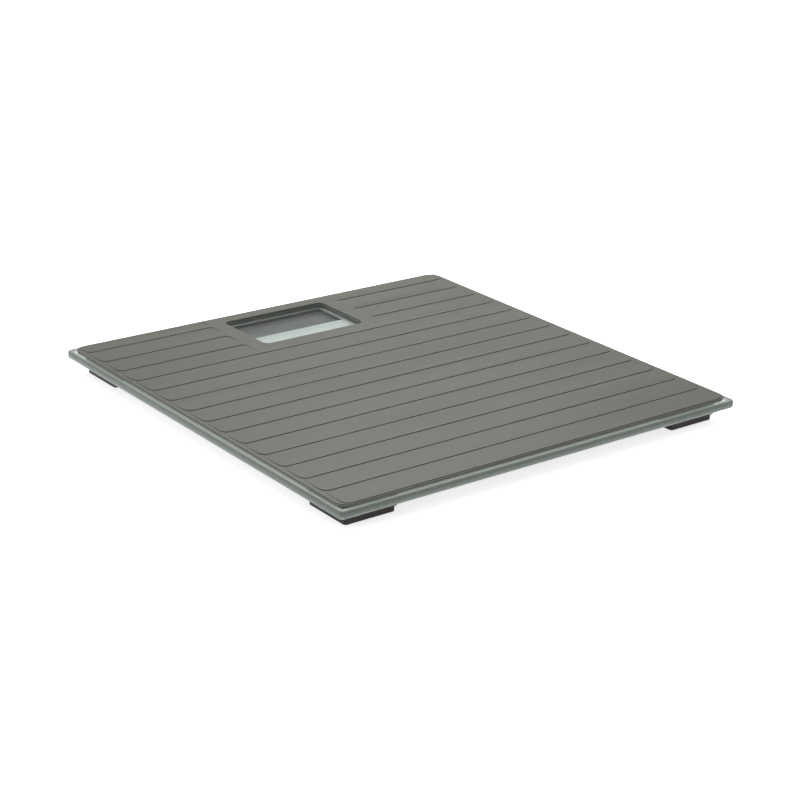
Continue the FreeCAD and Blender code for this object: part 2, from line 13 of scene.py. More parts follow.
import bpy
import numpy as np
from mathutils import Matrix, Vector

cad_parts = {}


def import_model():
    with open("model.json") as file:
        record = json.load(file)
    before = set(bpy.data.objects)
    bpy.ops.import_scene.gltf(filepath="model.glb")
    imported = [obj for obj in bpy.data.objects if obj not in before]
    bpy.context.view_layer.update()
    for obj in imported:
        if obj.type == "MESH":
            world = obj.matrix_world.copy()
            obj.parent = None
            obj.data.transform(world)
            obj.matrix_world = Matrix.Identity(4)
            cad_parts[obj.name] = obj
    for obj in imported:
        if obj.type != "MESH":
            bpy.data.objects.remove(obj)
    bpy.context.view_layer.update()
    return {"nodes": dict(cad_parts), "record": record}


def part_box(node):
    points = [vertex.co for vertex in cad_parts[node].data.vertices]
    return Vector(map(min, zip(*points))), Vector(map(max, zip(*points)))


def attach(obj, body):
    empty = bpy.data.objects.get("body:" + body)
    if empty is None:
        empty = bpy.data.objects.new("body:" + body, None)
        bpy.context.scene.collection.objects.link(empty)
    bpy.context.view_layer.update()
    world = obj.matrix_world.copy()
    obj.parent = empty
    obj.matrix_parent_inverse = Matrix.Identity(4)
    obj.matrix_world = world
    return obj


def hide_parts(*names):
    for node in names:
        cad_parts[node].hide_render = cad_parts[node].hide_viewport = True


LOG = logging.getLogger("bathroom_scale")
MM = 0.001

Colour = tuple[float, float, float]


class Grain(Enum):
    """How the fine relief of a finish is laid."""

    EVEN = "even"
    ALONG_X = "along x"
    ALONG_Y = "along y"
    CELLS = "cells"


GRAIN_STRETCH: dict[Grain, Colour] = {
    Grain.EVEN: (1.0, 1.0, 1.0),
    Grain.ALONG_X: (0.03, 1.0, 1.0),
    Grain.ALONG_Y: (1.0, 0.03, 1.0),
    Grain.CELLS: (1.0, 1.0, 1.0),
}


def shade(red: float, green: float, blue: float) -> Colour:
    """Turns display values from 0 to 255 into linear light.

    Args:
        red: Red as a display value.
        green: Green as a display value.
        blue: Blue as a display value.

    Returns:
        The linear colour.
    """
    values = np.array([red, green, blue]) / 255.0
    linear = np.where(values <= 0.04045, values / 12.92, ((values + 0.055) / 1.055) ** 2.4)
    return tuple(float(value) for value in linear)


class Recipe:
    """Node tree of one material, with a Principled shader and short calls for the nodes this scale needs."""

    def __init__(self, name: str) -> None:
        """Starts the material.

        Args:
            name: Name of the material.
        """
        self.material = bpy.data.materials.new(name)
        self.material.use_nodes = True
        self.tree = self.material.node_tree
        self.tree.nodes.clear()
        self.output = self.tree.nodes.new("ShaderNodeOutputMaterial")
        self.shader = self.tree.nodes.new("ShaderNodeBsdfPrincipled")
        self.tree.links.new(self.shader.outputs[0], self.output.inputs[0])
        self.place = self.tree.nodes.new("ShaderNodeTexCoord").outputs["Object"]

    def node(self, kind: str, **settings: object) -> bpy.types.Node:
        """Adds a node.

        Args:
            kind: Blender's name for the node, without the Shader Node prefix.
            settings: Properties of the node to set.

        Returns:
            The new node.
        """
        made = self.tree.nodes.new("ShaderNode" + kind)
        for key, value in settings.items():
            setattr(made, key, value)
        return made

    def join(self, source: bpy.types.NodeSocket, target: bpy.types.NodeSocket) -> None:
        """Links one socket to another."""
        self.tree.links.new(source, target)

    def stretched(self, scale: Colour) -> bpy.types.NodeSocket:
        """Object coordinates scaled along each axis.

        Args:
            scale: Factor along x, y and z.

        Returns:
            The scaled coordinates.
        """
        mapping = self.node("Mapping")
        mapping.inputs["Scale"].default_value = scale
        self.join(self.place, mapping.inputs["Vector"])
        return mapping.outputs[0]

    def noise(self, size: float, stretch: Colour = (1.0, 1.0, 1.0),
              detail: float = 3.0) -> bpy.types.NodeSocket:
        """Cloudy noise from 0 to 1.

        Args:
            size: Size of a cloud in metres.
            stretch: Factor on the coordinates along each axis; a small one draws the clouds out that way.
            detail: Octaves of finer noise.

        Returns:
            The noise value.
        """
        texture = self.node("TexNoise")
        texture.inputs["Scale"].default_value = 1.0 / size
        texture.inputs["Detail"].default_value = detail
        self.join(self.stretched(stretch), texture.inputs["Vector"])
        return texture.outputs["Fac"]

    def cells(self, size: float) -> bpy.types.NodeSocket:
        """Distance to the middle of the nearest cell.

        Args:
            size: Size of a cell in metres.

        Returns:
            The distance as a share of a cell.
        """
        texture = self.node("TexVoronoi")
        texture.inputs["Scale"].default_value = 1.0 / size
        self.join(self.place, texture.inputs["Vector"])
        return texture.outputs["Distance"]

    def span(self, value: bpy.types.NodeSocket, low: float, high: float, edge0: float = 0.25,
             edge1: float = 0.75) -> bpy.types.NodeSocket:
        """Spreads a value between two others, held at the ends.

        Args:
            value: The value to spread.
            low: Result at edge0 and below.
            high: Result at edge1 and above.
            edge0: Where the spread starts.
            edge1: Where it ends.

        Returns:
            The spread value.
        """
        spread = self.node("MapRange")
        self.join(value, spread.inputs["Value"])
        for name, number in (("From Min", edge0), ("From Max", edge1), ("To Min", low), ("To Max", high)):
            spread.inputs[name].default_value = number
        return spread.outputs["Result"]

    def mix(self, share: bpy.types.NodeSocket, first: Colour | bpy.types.NodeSocket,
            second: Colour | bpy.types.NodeSocket) -> bpy.types.NodeSocket:
        """Blends two colours.

        Args:
            share: Share of the second colour.
            first: A colour or a socket.
            second: A colour or a socket.

        Returns:
            The blended colour.
        """
        mixer = self.node("Mix", data_type="RGBA")
        self.join(share, mixer.inputs[0])
        for slot, value in ((6, first), (7, second)):
            if isinstance(value, tuple):
                mixer.inputs[slot].default_value = (*value, 1.0)
            else:
                self.join(value, mixer.inputs[slot])
        return mixer.outputs[2]

    def relief(self, height: bpy.types.NodeSocket, depth: float,
               under: bpy.types.NodeSocket | None = None) -> bpy.types.NodeSocket:
        """Turns a height into a surface normal.

        Args:
            height: Height from 0 to 1.
            depth: Depth of the relief in metres.
            under: Normal that the relief is laid on.

        Returns:
            The normal.
        """
        bump = self.node("Bump")
        bump.inputs["Strength"].default_value = 1.0
        bump.inputs["Distance"].default_value = depth
        self.join(height, bump.inputs["Height"])
        if under is not None:
            self.join(under, bump.inputs["Normal"])
        return bump.outputs[0]

    def rounded_normal(self, radius: float) -> bpy.types.NodeSocket:
        """Normal that runs round an edge of this radius in metres."""
        bevel = self.node("Bevel", samples=4)
        bevel.inputs["Radius"].default_value = radius
        return bevel.outputs[0]

    def worn_edges(self, radius: float) -> bpy.types.NodeSocket:
        """Share from 0 on flat faces to 1 along edges.

        Args:
            radius: How far the wear reaches from an edge, in metres.

        Returns:
            The share.
        """
        flat = self.node("NewGeometry").outputs["Normal"]
        dot = self.node("VectorMath", operation="DOT_PRODUCT")
        self.join(self.rounded_normal(radius), dot.inputs[0])
        self.join(flat, dot.inputs[1])
        return self.span(dot.outputs["Value"], 1.0, 0.0, 0.75, 0.99)

    def fix(self, **sockets: float | Colour) -> None:
        """Sets constants straight on the shader's sockets, named with _ for a space."""
        for key, value in sockets.items():
            self.shader.inputs[key.replace("_", " ")].default_value = (
                (*value, 1.0) if isinstance(value, tuple) else value)


@dataclass(frozen=True)
class Surface:
    """Finish of an opaque piece: a colour with its drift, a roughness with its drift, and a relief.

    Attributes:
        name: Name of the material.
        colour: Main colour, linear.
        drift: Share by which the colour darkens and lightens over the surface.
        roughness: Middle of the roughness.
        roughness_drift: How far it goes each way.
        grain: How the relief is laid.
        grain_size: Size of the relief's features in metres.
        grain_depth: Depth of the relief in metres.
        metallic: 1 for bare metal.
        edge_radius: Softness of the edges in metres, or 0.
        edge_wear: Share by which worn edges lighten.
        specular: Specular level.
    """

    name: str
    colour: Colour
    drift: float = 0.06
    roughness: float = 0.5
    roughness_drift: float = 0.08
    grain: Grain = Grain.EVEN
    grain_size: float = 0.4 * MM
    grain_depth: float = 0.01 * MM
    metallic: float = 0.0
    edge_radius: float = 0.15 * MM
    edge_wear: float = 0.15
    specular: float = 0.5

    def tone(self, recipe: Recipe) -> bpy.types.NodeSocket:
        """The colour over the surface: clouds of two sizes, then lighter worn edges.

        Args:
            recipe: The material being made.

        Returns:
            The colour.
        """
        dark = tuple(value * (1.0 - self.drift) for value in self.colour)
        light = tuple(min(1.0, value * (1.0 + self.drift)) for value in self.colour)
        broad = recipe.noise(14.0 * MM, GRAIN_STRETCH[self.grain], 2.0)
        fine = recipe.noise(3.0 * self.grain_size, GRAIN_STRETCH[self.grain], 4.0)
        both = recipe.node("Math", operation="ADD")
        recipe.join(recipe.span(broad, 0.0, 0.5), both.inputs[0])
        recipe.join(recipe.span(fine, 0.0, 0.5), both.inputs[1])
        colour = recipe.mix(both.outputs[0], dark, light)
        if self.edge_radius and self.edge_wear:
            worn = tuple(value + (1.0 - value) * self.edge_wear * 0.5 for value in self.colour)
            share = recipe.node("Math", operation="MULTIPLY")
            recipe.join(recipe.worn_edges(self.edge_radius * 2.0), share.inputs[0])
            recipe.join(recipe.span(fine, 0.1, 0.8), share.inputs[1])
            colour = recipe.mix(share.outputs[0], colour, worn)
        return colour

    def height(self, recipe: Recipe) -> bpy.types.NodeSocket:
        """Height of the relief: cells for foam, else noise drawn out along the grain."""
        if self.grain is Grain.CELLS:
            return recipe.cells(self.grain_size)
        return recipe.noise(self.grain_size, GRAIN_STRETCH[self.grain], 3.0)

    def build(self) -> bpy.types.Material:
        """Makes the material.

        Returns:
            The material.
        """
        recipe = Recipe(self.name)
        recipe.fix(Metallic=self.metallic, Specular_IOR_Level=self.specular)
        recipe.join(self.tone(recipe), recipe.shader.inputs["Base Color"])
        haze = recipe.noise(6.0 * MM, GRAIN_STRETCH[self.grain], 4.0)
        low, high = self.roughness - self.roughness_drift, self.roughness + self.roughness_drift
        recipe.join(recipe.span(haze, low, high), recipe.shader.inputs["Roughness"])
        under = recipe.rounded_normal(self.edge_radius) if self.edge_radius else None
        normal = recipe.relief(self.height(recipe), self.grain_depth, under)
        recipe.join(normal, recipe.shader.inputs["Normal"])
        return recipe.material


@dataclass(frozen=True)
class MatVinyl:
    """Satin vinyl of the slatted mat, paler and greener in a thin band at the bottom: fine streaks along the
    slats and a soft speckle.

    Attributes:
        name: Name of the material.
        colour: Main colour, linear.
        streak_drift: Share by which the streaks darken and lighten it.
        speckle: Colour of the dark speckle.
        cloud: Colour of the broad pale clouds.
        worn: Colour of rubbed edges.
        low_band_colour: Colour of the thin band at the bottom of the mat.
        band_fade_start: Height up to which the mat is all that colour.
        band_fade_end: Height from which it is all vinyl.
        roughness: Middle of the roughness.
        roughness_drift: How far it goes each way.
    """

    name: str = "satin_mat_vinyl"
    colour: Colour = shade(97, 98, 91)
    streak_drift: float = 0.12
    speckle: Colour = shade(78, 79, 73)
    cloud: Colour = shade(118, 118, 111)
    worn: Colour = shade(136, 136, 129)
    # Paler, greener colour of the mat's lowest band, and the heights over which it fades into the vinyl.
    low_band_colour: Colour = shade(150, 156, 148)
    band_fade_start: float = 15.15 * MM
    band_fade_end: float = 15.3 * MM
    roughness: float = 0.5
    roughness_drift: float = 0.06

    def build(self) -> bpy.types.Material:
        """Makes the material.

        The colour is a base with long thin streaks along x, a fine speckle and broad clouds; the relief is
        the same streaks with the speckle on them. Below band_fade_start the mat turns paler and greener.

        Returns:
            The material.
        """
        recipe = Recipe(self.name)
        streaks = recipe.noise(3.2 * MM, (0.02, 1.0, 1.0), 5.0)
        pebble = recipe.noise(0.45 * MM, (0.5, 1.0, 1.0), 3.0)
        clouds = recipe.noise(60.0 * MM, (0.5, 1.0, 1.0), 2.0)
        dark = tuple(value * (1.0 - self.streak_drift) for value in self.colour)
        light = tuple(value * (1.0 + self.streak_drift) for value in self.colour)
        lined = recipe.mix(recipe.span(streaks, 0.0, 1.0, 0.3, 0.7), dark, light)
        speckled = recipe.mix(recipe.span(pebble, 0.0, 0.16, 0.35, 0.7), lined, self.speckle)
        clouded = recipe.mix(recipe.span(clouds, 0.0, 0.12), speckled, self.cloud)
        rubbed = recipe.span(recipe.worn_edges(0.25 * MM), 0.0, 0.10, 0.0, 1.0)
        vinyl = recipe.mix(rubbed, clouded, self.worn)
        place = recipe.node("SeparateXYZ")
        recipe.join(recipe.place, place.inputs[0])
        # Paler, greener colour below a set height, along the lowest part of the mat's walls.
        layer = recipe.span(place.outputs["Z"], 1.0, 0.0, self.band_fade_start, self.band_fade_end)
        recipe.join(recipe.mix(layer, vinyl, self.low_band_colour), recipe.shader.inputs["Base Color"])
        low, high = self.roughness - self.roughness_drift, self.roughness + self.roughness_drift
        recipe.join(recipe.span(streaks, low, high), recipe.shader.inputs["Roughness"])
        lines = recipe.relief(streaks, 0.012 * MM)
        recipe.join(recipe.relief(pebble, 0.010 * MM, lines), recipe.shader.inputs["Normal"])
        recipe.fix(Specular_IOR_Level=0.28)
        return recipe.material


@dataclass(frozen=True)
class GreenGlass:
    """Clear glass with a faint green in its depth, and ground edges with upright grinding lines.

    Attributes:
        name: Name of the material.
        colour: Tint of the faces, linear.
        edge_colour: Tint of the edges.
        highlight_ground_colour: Painted highlight on the ground edge along its bevels.
        shade_and_line_ground_colour: Painted shade on the ground edge between them, also the colour of the
            grinding lines.
        shadow_tint: Share of each colour that passes on its way to a lamp.
        index: Refractive index.
        face_roughness: Roughness of the faces.
        edge_roughness: Roughness of the edges.
        bottom: Height of the underside.
        top: Height of the top.
        rim_start: Distance from the middle at which the bare rim starts.
    """

    name: str = "clear_glass"
    colour: Colour = (0.965, 0.99, 0.98)
    edge_colour: Colour = (0.70, 0.80, 0.76)
    # Painted highlight and painted shade of the ground edge; the darker colour also tints the grinding lines.
    highlight_ground_colour: Colour = shade(188, 196, 189)
    shade_and_line_ground_colour: Colour = shade(88, 100, 92)
    shadow_tint: Colour = (0.93, 0.97, 0.955)
    index: float = 1.52
    face_roughness: float = 0.008
    edge_roughness: float = 0.22
    bottom: float = 9.5 * MM
    top: float = 14.5 * MM
    rim_start: float = 146.8 * MM

    def build(self) -> bpy.types.Material:
        """Makes the material.

        The share of edge is 1 where the surface's own normal is level and 0 where it is upright. It raises
        the roughness, deepens the green and turns on the grinding lines. Light on its way to a lamp passes
        through, tinted.

        Returns:
            The material.
        """
        recipe = Recipe(self.name)
        split = recipe.node("SeparateXYZ")
        recipe.join(recipe.node("NewGeometry").outputs["Normal"], split.inputs[0])
        lean = recipe.node("Math", operation="ABSOLUTE")
        recipe.join(split.outputs["Z"], lean.inputs[0])
        edge = recipe.span(lean.outputs[0], 1.0, 0.0, 0.45, 0.97)
        recipe.join(recipe.mix(edge, self.colour, self.edge_colour), recipe.shader.inputs["Base Color"])
        smear = recipe.noise(25.0 * MM, detail=4.0)
        lines = recipe.noise(0.5 * MM, (1.0, 1.0, 0.03), 3.0)
        ground = recipe.node("Math", operation="MULTIPLY")
        recipe.join(edge, ground.inputs[0])
        low, high = self.edge_roughness * 0.6, self.edge_roughness * 1.4
        recipe.join(recipe.span(lines, low, high), ground.inputs[1])
        rough = recipe.node("Math", operation="ADD")
        recipe.join(ground.outputs[0], rough.inputs[0])
        recipe.join(recipe.span(smear, self.face_roughness * 0.4, self.face_roughness * 1.6), rough.inputs[1])
        recipe.join(rough.outputs[0], recipe.shader.inputs["Roughness"])
        marks = recipe.node("Math", operation="MULTIPLY")
        recipe.join(edge, marks.inputs[0])
        recipe.join(lines, marks.inputs[1])
        recipe.join(recipe.relief(marks.outputs[0], 0.03 * MM), recipe.shader.inputs["Normal"])
        recipe.fix(Transmission_Weight=1.0, IOR=self.index)
        ground_glass_with_painted_light = self.ground(recipe, lines)
        # Mix of clear glass with the milky shader, which carries frosted edges and painted light on the bare
        # rim.
        frosted_and_painted_light = recipe.node("MixShader")
        recipe.join(self.frost_and_painted_rim_light(recipe, edge), frosted_and_painted_light.inputs[0])
        recipe.join(recipe.shader.outputs[0], frosted_and_painted_light.inputs[1])
        recipe.join(ground_glass_with_painted_light, frosted_and_painted_light.inputs[2])
        self.let_shadows_through(recipe, frosted_and_painted_light.outputs[0])
        return recipe.material

    def ground(self, recipe: Recipe, lines: bpy.types.NodeSocket) -> bpy.types.NodeSocket:
        """The milky part of a ground edge, with a painted highlight along the lower bevel and painted shade
        just below the upper one.

        Args:
            recipe: The material being made.
            lines: Grinding lines, from 0 to 1.

        Returns:
            The shader.
        """
        place = recipe.node("SeparateXYZ")
        recipe.join(recipe.place, place.inputs[0])
        level = recipe.span(place.outputs["Z"], 0.0, 1.0, self.bottom, self.top)
        # Painted highlight and shade by height: palest at the lower bevel, darkest just below the upper
        # bevel, paler again at the top and on the rim.
        ramp = recipe.node("ValToRGB")
        stops = ramp.color_ramp.elements
        stops[0].position, stops[1].position = 0.06, 0.97
        for position, share in ((0.22, 0.42), (0.52, 0.16), (0.78, 0.0)):
            stops.new(position).color = (share, share, share, 1.0)
        stops[0].color, stops[-1].color = (1.0, 1.0, 1.0, 1.0), (0.55, 0.55, 0.55, 1.0)
        recipe.join(level, ramp.inputs[0])
        tone = recipe.mix(ramp.outputs[0], self.shade_and_line_ground_colour, self.highlight_ground_colour)
        lined = recipe.mix(recipe.span(lines, 0.0, 0.22), tone, self.shade_and_line_ground_colour)
        body = recipe.node("BsdfPrincipled")
        recipe.join(lined, body.inputs["Base Color"])
        recipe.join(recipe.span(lines, 0.25, 0.4), body.inputs["Roughness"])
        recipe.join(recipe.relief(lines, 0.01 * MM), body.inputs["Normal"])
        return body.outputs[0]

    def frost_and_painted_rim_light(self, recipe: Recipe, edge: bpy.types.NodeSocket) -> bpy.types.NodeSocket:
        """Share of the milky shader: high on the ground edges, and high on the bare rim round the mat, where
        it paints pale light over clear glass; none elsewhere.

        Args:
            recipe: The material being made.
            edge: Share of edge, from 0 to 1.

        Returns:
            The share.
        """
        place = recipe.node("SeparateXYZ")
        recipe.join(recipe.place, place.inputs[0])
        furthest = recipe.node("Math", operation="MAXIMUM")
        for axis, slot in (("X", 0), ("Y", 1)):
            size = recipe.node("Math", operation="ABSOLUTE")
            recipe.join(place.outputs[axis], size.inputs[0])
            recipe.join(size.outputs[0], furthest.inputs[slot])
        # Painted light: the bare top rim gets the milky shader and its pale painted tone instead of clear
        # glass.
        rim = recipe.span(furthest.outputs[0], 0.0, 0.8, self.rim_start, self.rim_start + 0.6 * MM)
        share = recipe.node("Math", operation="MAXIMUM")
        recipe.join(recipe.span(edge, 0.0, 0.86, 0.0, 1.0), share.inputs[0])
        recipe.join(rim, share.inputs[1])
        return share.outputs[0]

    def let_shadows_through(self, recipe: Recipe, glass: bpy.types.NodeSocket) -> None:
        """Swaps the glass for a tinted clear shader where light on its way to a lamp passes.

        Args:
            recipe: The material being made.
            glass: The glass shader.
        """
        clear = recipe.node("BsdfTransparent")
        clear.inputs[0].default_value = (*self.shadow_tint, 1.0)
        choice = recipe.node("MixShader")
        recipe.join(recipe.node("LightPath").outputs["Is Shadow Ray"], choice.inputs[0])
        recipe.join(glass, choice.inputs[1])
        recipe.join(clear.outputs[0], choice.inputs[2])
        recipe.join(choice.outputs[0], recipe.output.inputs[0])


@dataclass(frozen=True)
class BoardLacquer:
    """Green solder mask over copper tracks: thin lighter lines on a grid."""

    name: str = "green_board"
    mask: Colour = shade(28, 84, 48)
    shaded_mask: Colour = shade(20, 64, 38)
    track: Colour = shade(46, 116, 66)
    track_pitch: tuple[float, float] = (3.0 * MM, 1.1 * MM)
    track_width: float = 0.12 * MM

    def build(self) -> bpy.types.Material:
        """Makes the material: the tracks are the thin joints of a brick pattern.

        Returns:
            The material.
        """
        recipe = Recipe(self.name)
        bricks = recipe.node("TexBrick")
        recipe.join(recipe.place, bricks.inputs["Vector"])
        along, across = self.track_pitch
        for name, number in (("Scale", 1.0), ("Brick Width", along), ("Row Height", across),
                             ("Mortar Size", self.track_width)):
            bricks.inputs[name].default_value = number
        clouds = recipe.noise(9.0 * MM)
        board = recipe.mix(recipe.span(clouds, 0.0, 0.4), self.mask, self.shaded_mask)
        recipe.join(recipe.mix(bricks.outputs["Fac"], board, self.track), recipe.shader.inputs["Base Color"])
        recipe.join(recipe.span(clouds, 0.28, 0.42), recipe.shader.inputs["Roughness"])
        recipe.join(recipe.relief(bricks.outputs["Fac"], 0.02 * MM), recipe.shader.inputs["Normal"])
        return recipe.material


@dataclass(frozen=True)
class DisplayFilm:
    """Front film of the display, switched off: smooth grey with a fine sparkle and darker clouds."""

    name: str = "lcd_film"
    colour: Colour = shade(82, 83, 82)
    sparkle: Colour = shade(90, 91, 89)
    cloud: Colour = shade(74, 75, 74)

    def build(self) -> bpy.types.Material:
        """Makes the material.

        Returns:
            The material.
        """
        recipe = Recipe(self.name)
        sparkle = recipe.noise(0.12 * MM, detail=1.0)
        sheen = recipe.noise(12.0 * MM, detail=2.0)
        fine = recipe.mix(recipe.span(sparkle, 0.0, 0.3), self.colour, self.sparkle)
        clouded = recipe.mix(recipe.span(sheen, 0.0, 0.15), fine, self.cloud)
        recipe.join(clouded, recipe.shader.inputs["Base Color"])
        recipe.join(recipe.span(sheen, 0.28, 0.38), recipe.shader.inputs["Roughness"])
        recipe.join(recipe.relief(sparkle, 0.004 * MM), recipe.shader.inputs["Normal"])
        return recipe.material


@dataclass(frozen=True)
class RibbonFilm:
    """Heat-sealed ribbon: black conductors side by side in an amber film."""

    name: str = "ribbon_film"
    film: Colour = shade(142, 104, 52)
    conductor: Colour = shade(30, 27, 24)
    wave_scale: float = 0.05 / (0.8 * MM)

    def build(self) -> bpy.types.Material:
        """Makes the material: bands that follow each other along x.

        Returns:
            The material.
        """
        recipe = Recipe(self.name)
        bands = recipe.node("TexWave", bands_direction="X")
        bands.inputs["Scale"].default_value = self.wave_scale
        recipe.join(recipe.place, bands.inputs["Vector"])
        haze = recipe.noise(4.0 * MM)
        share = recipe.span(bands.outputs["Fac"], 0.0, 1.0, 0.4, 0.6)
        recipe.join(recipe.mix(share, self.film, self.conductor), recipe.shader.inputs["Base Color"])
        recipe.join(recipe.span(haze, 0.25, 0.45), recipe.shader.inputs["Roughness"])
        recipe.join(recipe.relief(bands.outputs["Fac"], 0.01 * MM), recipe.shader.inputs["Normal"])
        return recipe.material


SURFACES: tuple[Surface, ...] = (
    Surface("adhesive_film", shade(128, 130, 124), 0.05, 0.4, 0.08, Grain.EVEN, 2.0 * MM, 0.01 * MM,
            edge_radius=0.0),
    Surface("foam_tape", shade(54, 54, 52), 0.1, 0.85, 0.05, Grain.CELLS, 0.35 * MM, 0.05 * MM,
            edge_radius=0.0),
    Surface("pale_bezel", shade(176, 181, 178), 0.02, 0.42, 0.05, Grain.EVEN, 0.3 * MM, 0.004 * MM,
            edge_radius=0.1 * MM, edge_wear=0.0),
    Surface("grey_housing", shade(196, 198, 192), 0.04, 0.5, 0.08, Grain.EVEN, 0.35 * MM, 0.015 * MM,
            edge_wear=0.1),
    Surface("dark_foam", shade(44, 44, 43), 0.12, 0.9, 0.05, Grain.CELLS, 0.3 * MM, 0.06 * MM,
            edge_radius=0.0),
    Surface("lcd_glass", shade(92, 96, 92), 0.03, 0.12, 0.04, Grain.EVEN, 1.5 * MM, 0.003 * MM),
    Surface("black_resin", shade(24, 24, 25), 0.1, 0.3, 0.1, Grain.EVEN, 0.8 * MM, 0.03 * MM),
    Surface("ceramic_parts", shade(168, 146, 112), 0.12, 0.55, 0.1, Grain.EVEN, 0.2 * MM, 0.01 * MM),
    Surface("button_plastic", shade(66, 66, 66), 0.06, 0.45, 0.08, Grain.EVEN, 0.3 * MM, 0.01 * MM),
    Surface("cell_steel", shade(205, 205, 203), 0.05, 0.28, 0.08, Grain.ALONG_X, 0.15 * MM, 0.004 * MM,
            metallic=1.0),
    Surface("spring_metal", shade(208, 192, 150), 0.06, 0.3, 0.08, Grain.ALONG_Y, 0.2 * MM, 0.004 * MM,
            metallic=1.0),
    Surface("door_plastic", shade(190, 192, 187), 0.04, 0.5, 0.08, Grain.EVEN, 0.35 * MM, 0.015 * MM,
            edge_wear=0.12),
    Surface("screw_steel", shade(188, 188, 190), 0.08, 0.3, 0.1, Grain.EVEN, 0.25 * MM, 0.006 * MM,
            metallic=1.0),
    Surface("clip_plastic", shade(214, 214, 208), 0.04, 0.5, 0.08, Grain.EVEN, 0.3 * MM, 0.01 * MM),
    Surface("bracket_plastic", shade(48, 47, 44), 0.08, 0.42, 0.08, Grain.EVEN, 0.35 * MM, 0.012 * MM),
    Surface("sensor_steel", shade(176, 178, 180), 0.06, 0.34, 0.1, Grain.ALONG_X, 0.2 * MM, 0.005 * MM,
            metallic=1.0),
    Surface("gauge_coating", shade(232, 228, 212), 0.04, 0.35, 0.08, Grain.EVEN, 0.9 * MM, 0.04 * MM),
    Surface("foot_plastic", shade(46, 45, 40), 0.1, 0.36, 0.08, Grain.EVEN, 0.4 * MM, 0.014 * MM,
            edge_radius=0.3 * MM, edge_wear=0.12),
    Surface("pad_rubber", shade(30, 30, 29), 0.12, 0.75, 0.08, Grain.EVEN, 0.3 * MM, 0.03 * MM),
    Surface("cable_sheath", shade(58, 58, 60), 0.06, 0.42, 0.06, Grain.EVEN, 0.6 * MM, 0.01 * MM,
            edge_radius=0.0),
)

Finish = GreenGlass | MatVinyl | DisplayFilm | BoardLacquer | RibbonFilm | Surface

FINISHES: dict[str, Finish] = {
    "grey_mat": MatVinyl(),
    **{finish.name: finish
       for finish in (GreenGlass(), DisplayFilm(), BoardLacquer(), RibbonFilm(), *SURFACES)},
}


def rounded_outline(width: float, depth: float, radius: float, centre: tuple[float, float] = (0.0, 0.0),
                    arc_steps: int = 16, side_steps: int = 24) -> np.ndarray:
    """Outline of a rectangle with quarter-circle corners, anticlockwise.

    Each corner is centre + (cos a, sin a) * radius for a over its quarter turn, and each side is split evenly
    between the corners, so outlines of any size have matching points.

    Args:
        width: Size along x.
        depth: Size along y.
        radius: Radius of the corners.
        centre: Middle of the rectangle.
        arc_steps: Steps round each corner.
        side_steps: Steps along each side.

    Returns:
        Points as rows of x and y.
    """
    half = np.array([width, depth]) / 2.0 - radius
    signs = np.array([[1, -1], [1, 1], [-1, 1], [-1, -1]], float)
    middles = signs * half
    starts = np.radians([-90.0, 0.0, 90.0, 180.0])
    angles = starts[:, None] + np.linspace(0.0, math.pi / 2, arc_steps + 1)[None, :]
    arcs = middles[:, None, :] + radius * np.stack([np.cos(angles), np.sin(angles)], axis=-1)
    ends, begins = arcs[:, -1], np.roll(arcs[:, 0], -1, axis=0)
    share = np.linspace(0.0, 1.0, side_steps + 1)[1:-1]
    sides = ends[:, None, :] + (begins - ends)[:, None, :] * share[None, :, None]
    return np.concatenate([arcs, sides], axis=1).reshape(-1, 2) + np.array(centre)


def grid_faces(rows: int, columns: int, close_rows: bool, close_columns: bool) -> np.ndarray:
    """Quads between neighbouring points of a grid.

    Args:
        rows: Rows of points.
        columns: Points in a row.
        close_rows: Joins the last row to the first.
        close_columns: Joins the last point of a row to its first.

    Returns:
        Quads as rows of four point numbers.
    """
    i = np.arange(rows if close_rows else rows - 1)[:, None]
    j = np.arange(columns if close_columns else columns - 1)[None, :]
    i2, j2 = (i + 1) % rows, (j + 1) % columns
    corners = [i * columns + j, i * columns + j2, i2 * columns + j2, i2 * columns + j]
    return np.stack([np.broadcast_to(c, (i.shape[0], j.shape[1])) for c in corners], axis=-1).reshape(-1, 4)


@dataclass
class Shell:
    """Points and faces of one piece while it is put together.

    Attributes:
        points: Arrays of points.
        faces: Lists of faces, as point numbers.
        count: Points so far.
    """

    points: list[np.ndarray]
    faces: list[list[int]]
    count: int = 0

    @classmethod
    def empty(cls) -> "Shell":
        """A shell with nothing in it."""
        return cls([], [])

    def add(self, points: np.ndarray, faces: list[list[int]] | np.ndarray) -> None:
        """Adds a closed part.

        Args:
            points: Points as rows of x, y and z.
            faces: Faces with numbers that start at 0 for this part.
        """
        self.points.append(points)
        self.faces += [[int(n) + self.count for n in face] for face in faces]
        self.count += len(points)

    def make(self, name: str, material: bpy.types.Material, sharp_degrees: float = 32.0) -> bpy.types.Object:
        """Makes the object, smooth except at edges sharper than an angle.

        Args:
            name: Name of the piece.
            material: Its material.
            sharp_degrees: Edges that turn by more than this stay sharp.

        Returns:
            The new object, at the origin.
        """
        mesh = bpy.data.meshes.new(name)
        mesh.from_pydata(np.concatenate(self.points).tolist(), [], self.faces)
        mesh.polygons.foreach_set("use_smooth", np.ones(len(mesh.polygons), bool))
        mesh.set_sharp_from_angle(angle=math.radians(sharp_degrees))
        mesh.materials.append(material)
        made = bpy.data.objects.new(name, mesh)
        bpy.context.scene.collection.objects.link(made)
        even = made.modifiers.new("even shading", "WEIGHTED_NORMAL")
        even.keep_sharp = True
        LOG.info("%s: %d points, %d faces", name, len(mesh.vertices), len(mesh.polygons))
        return made


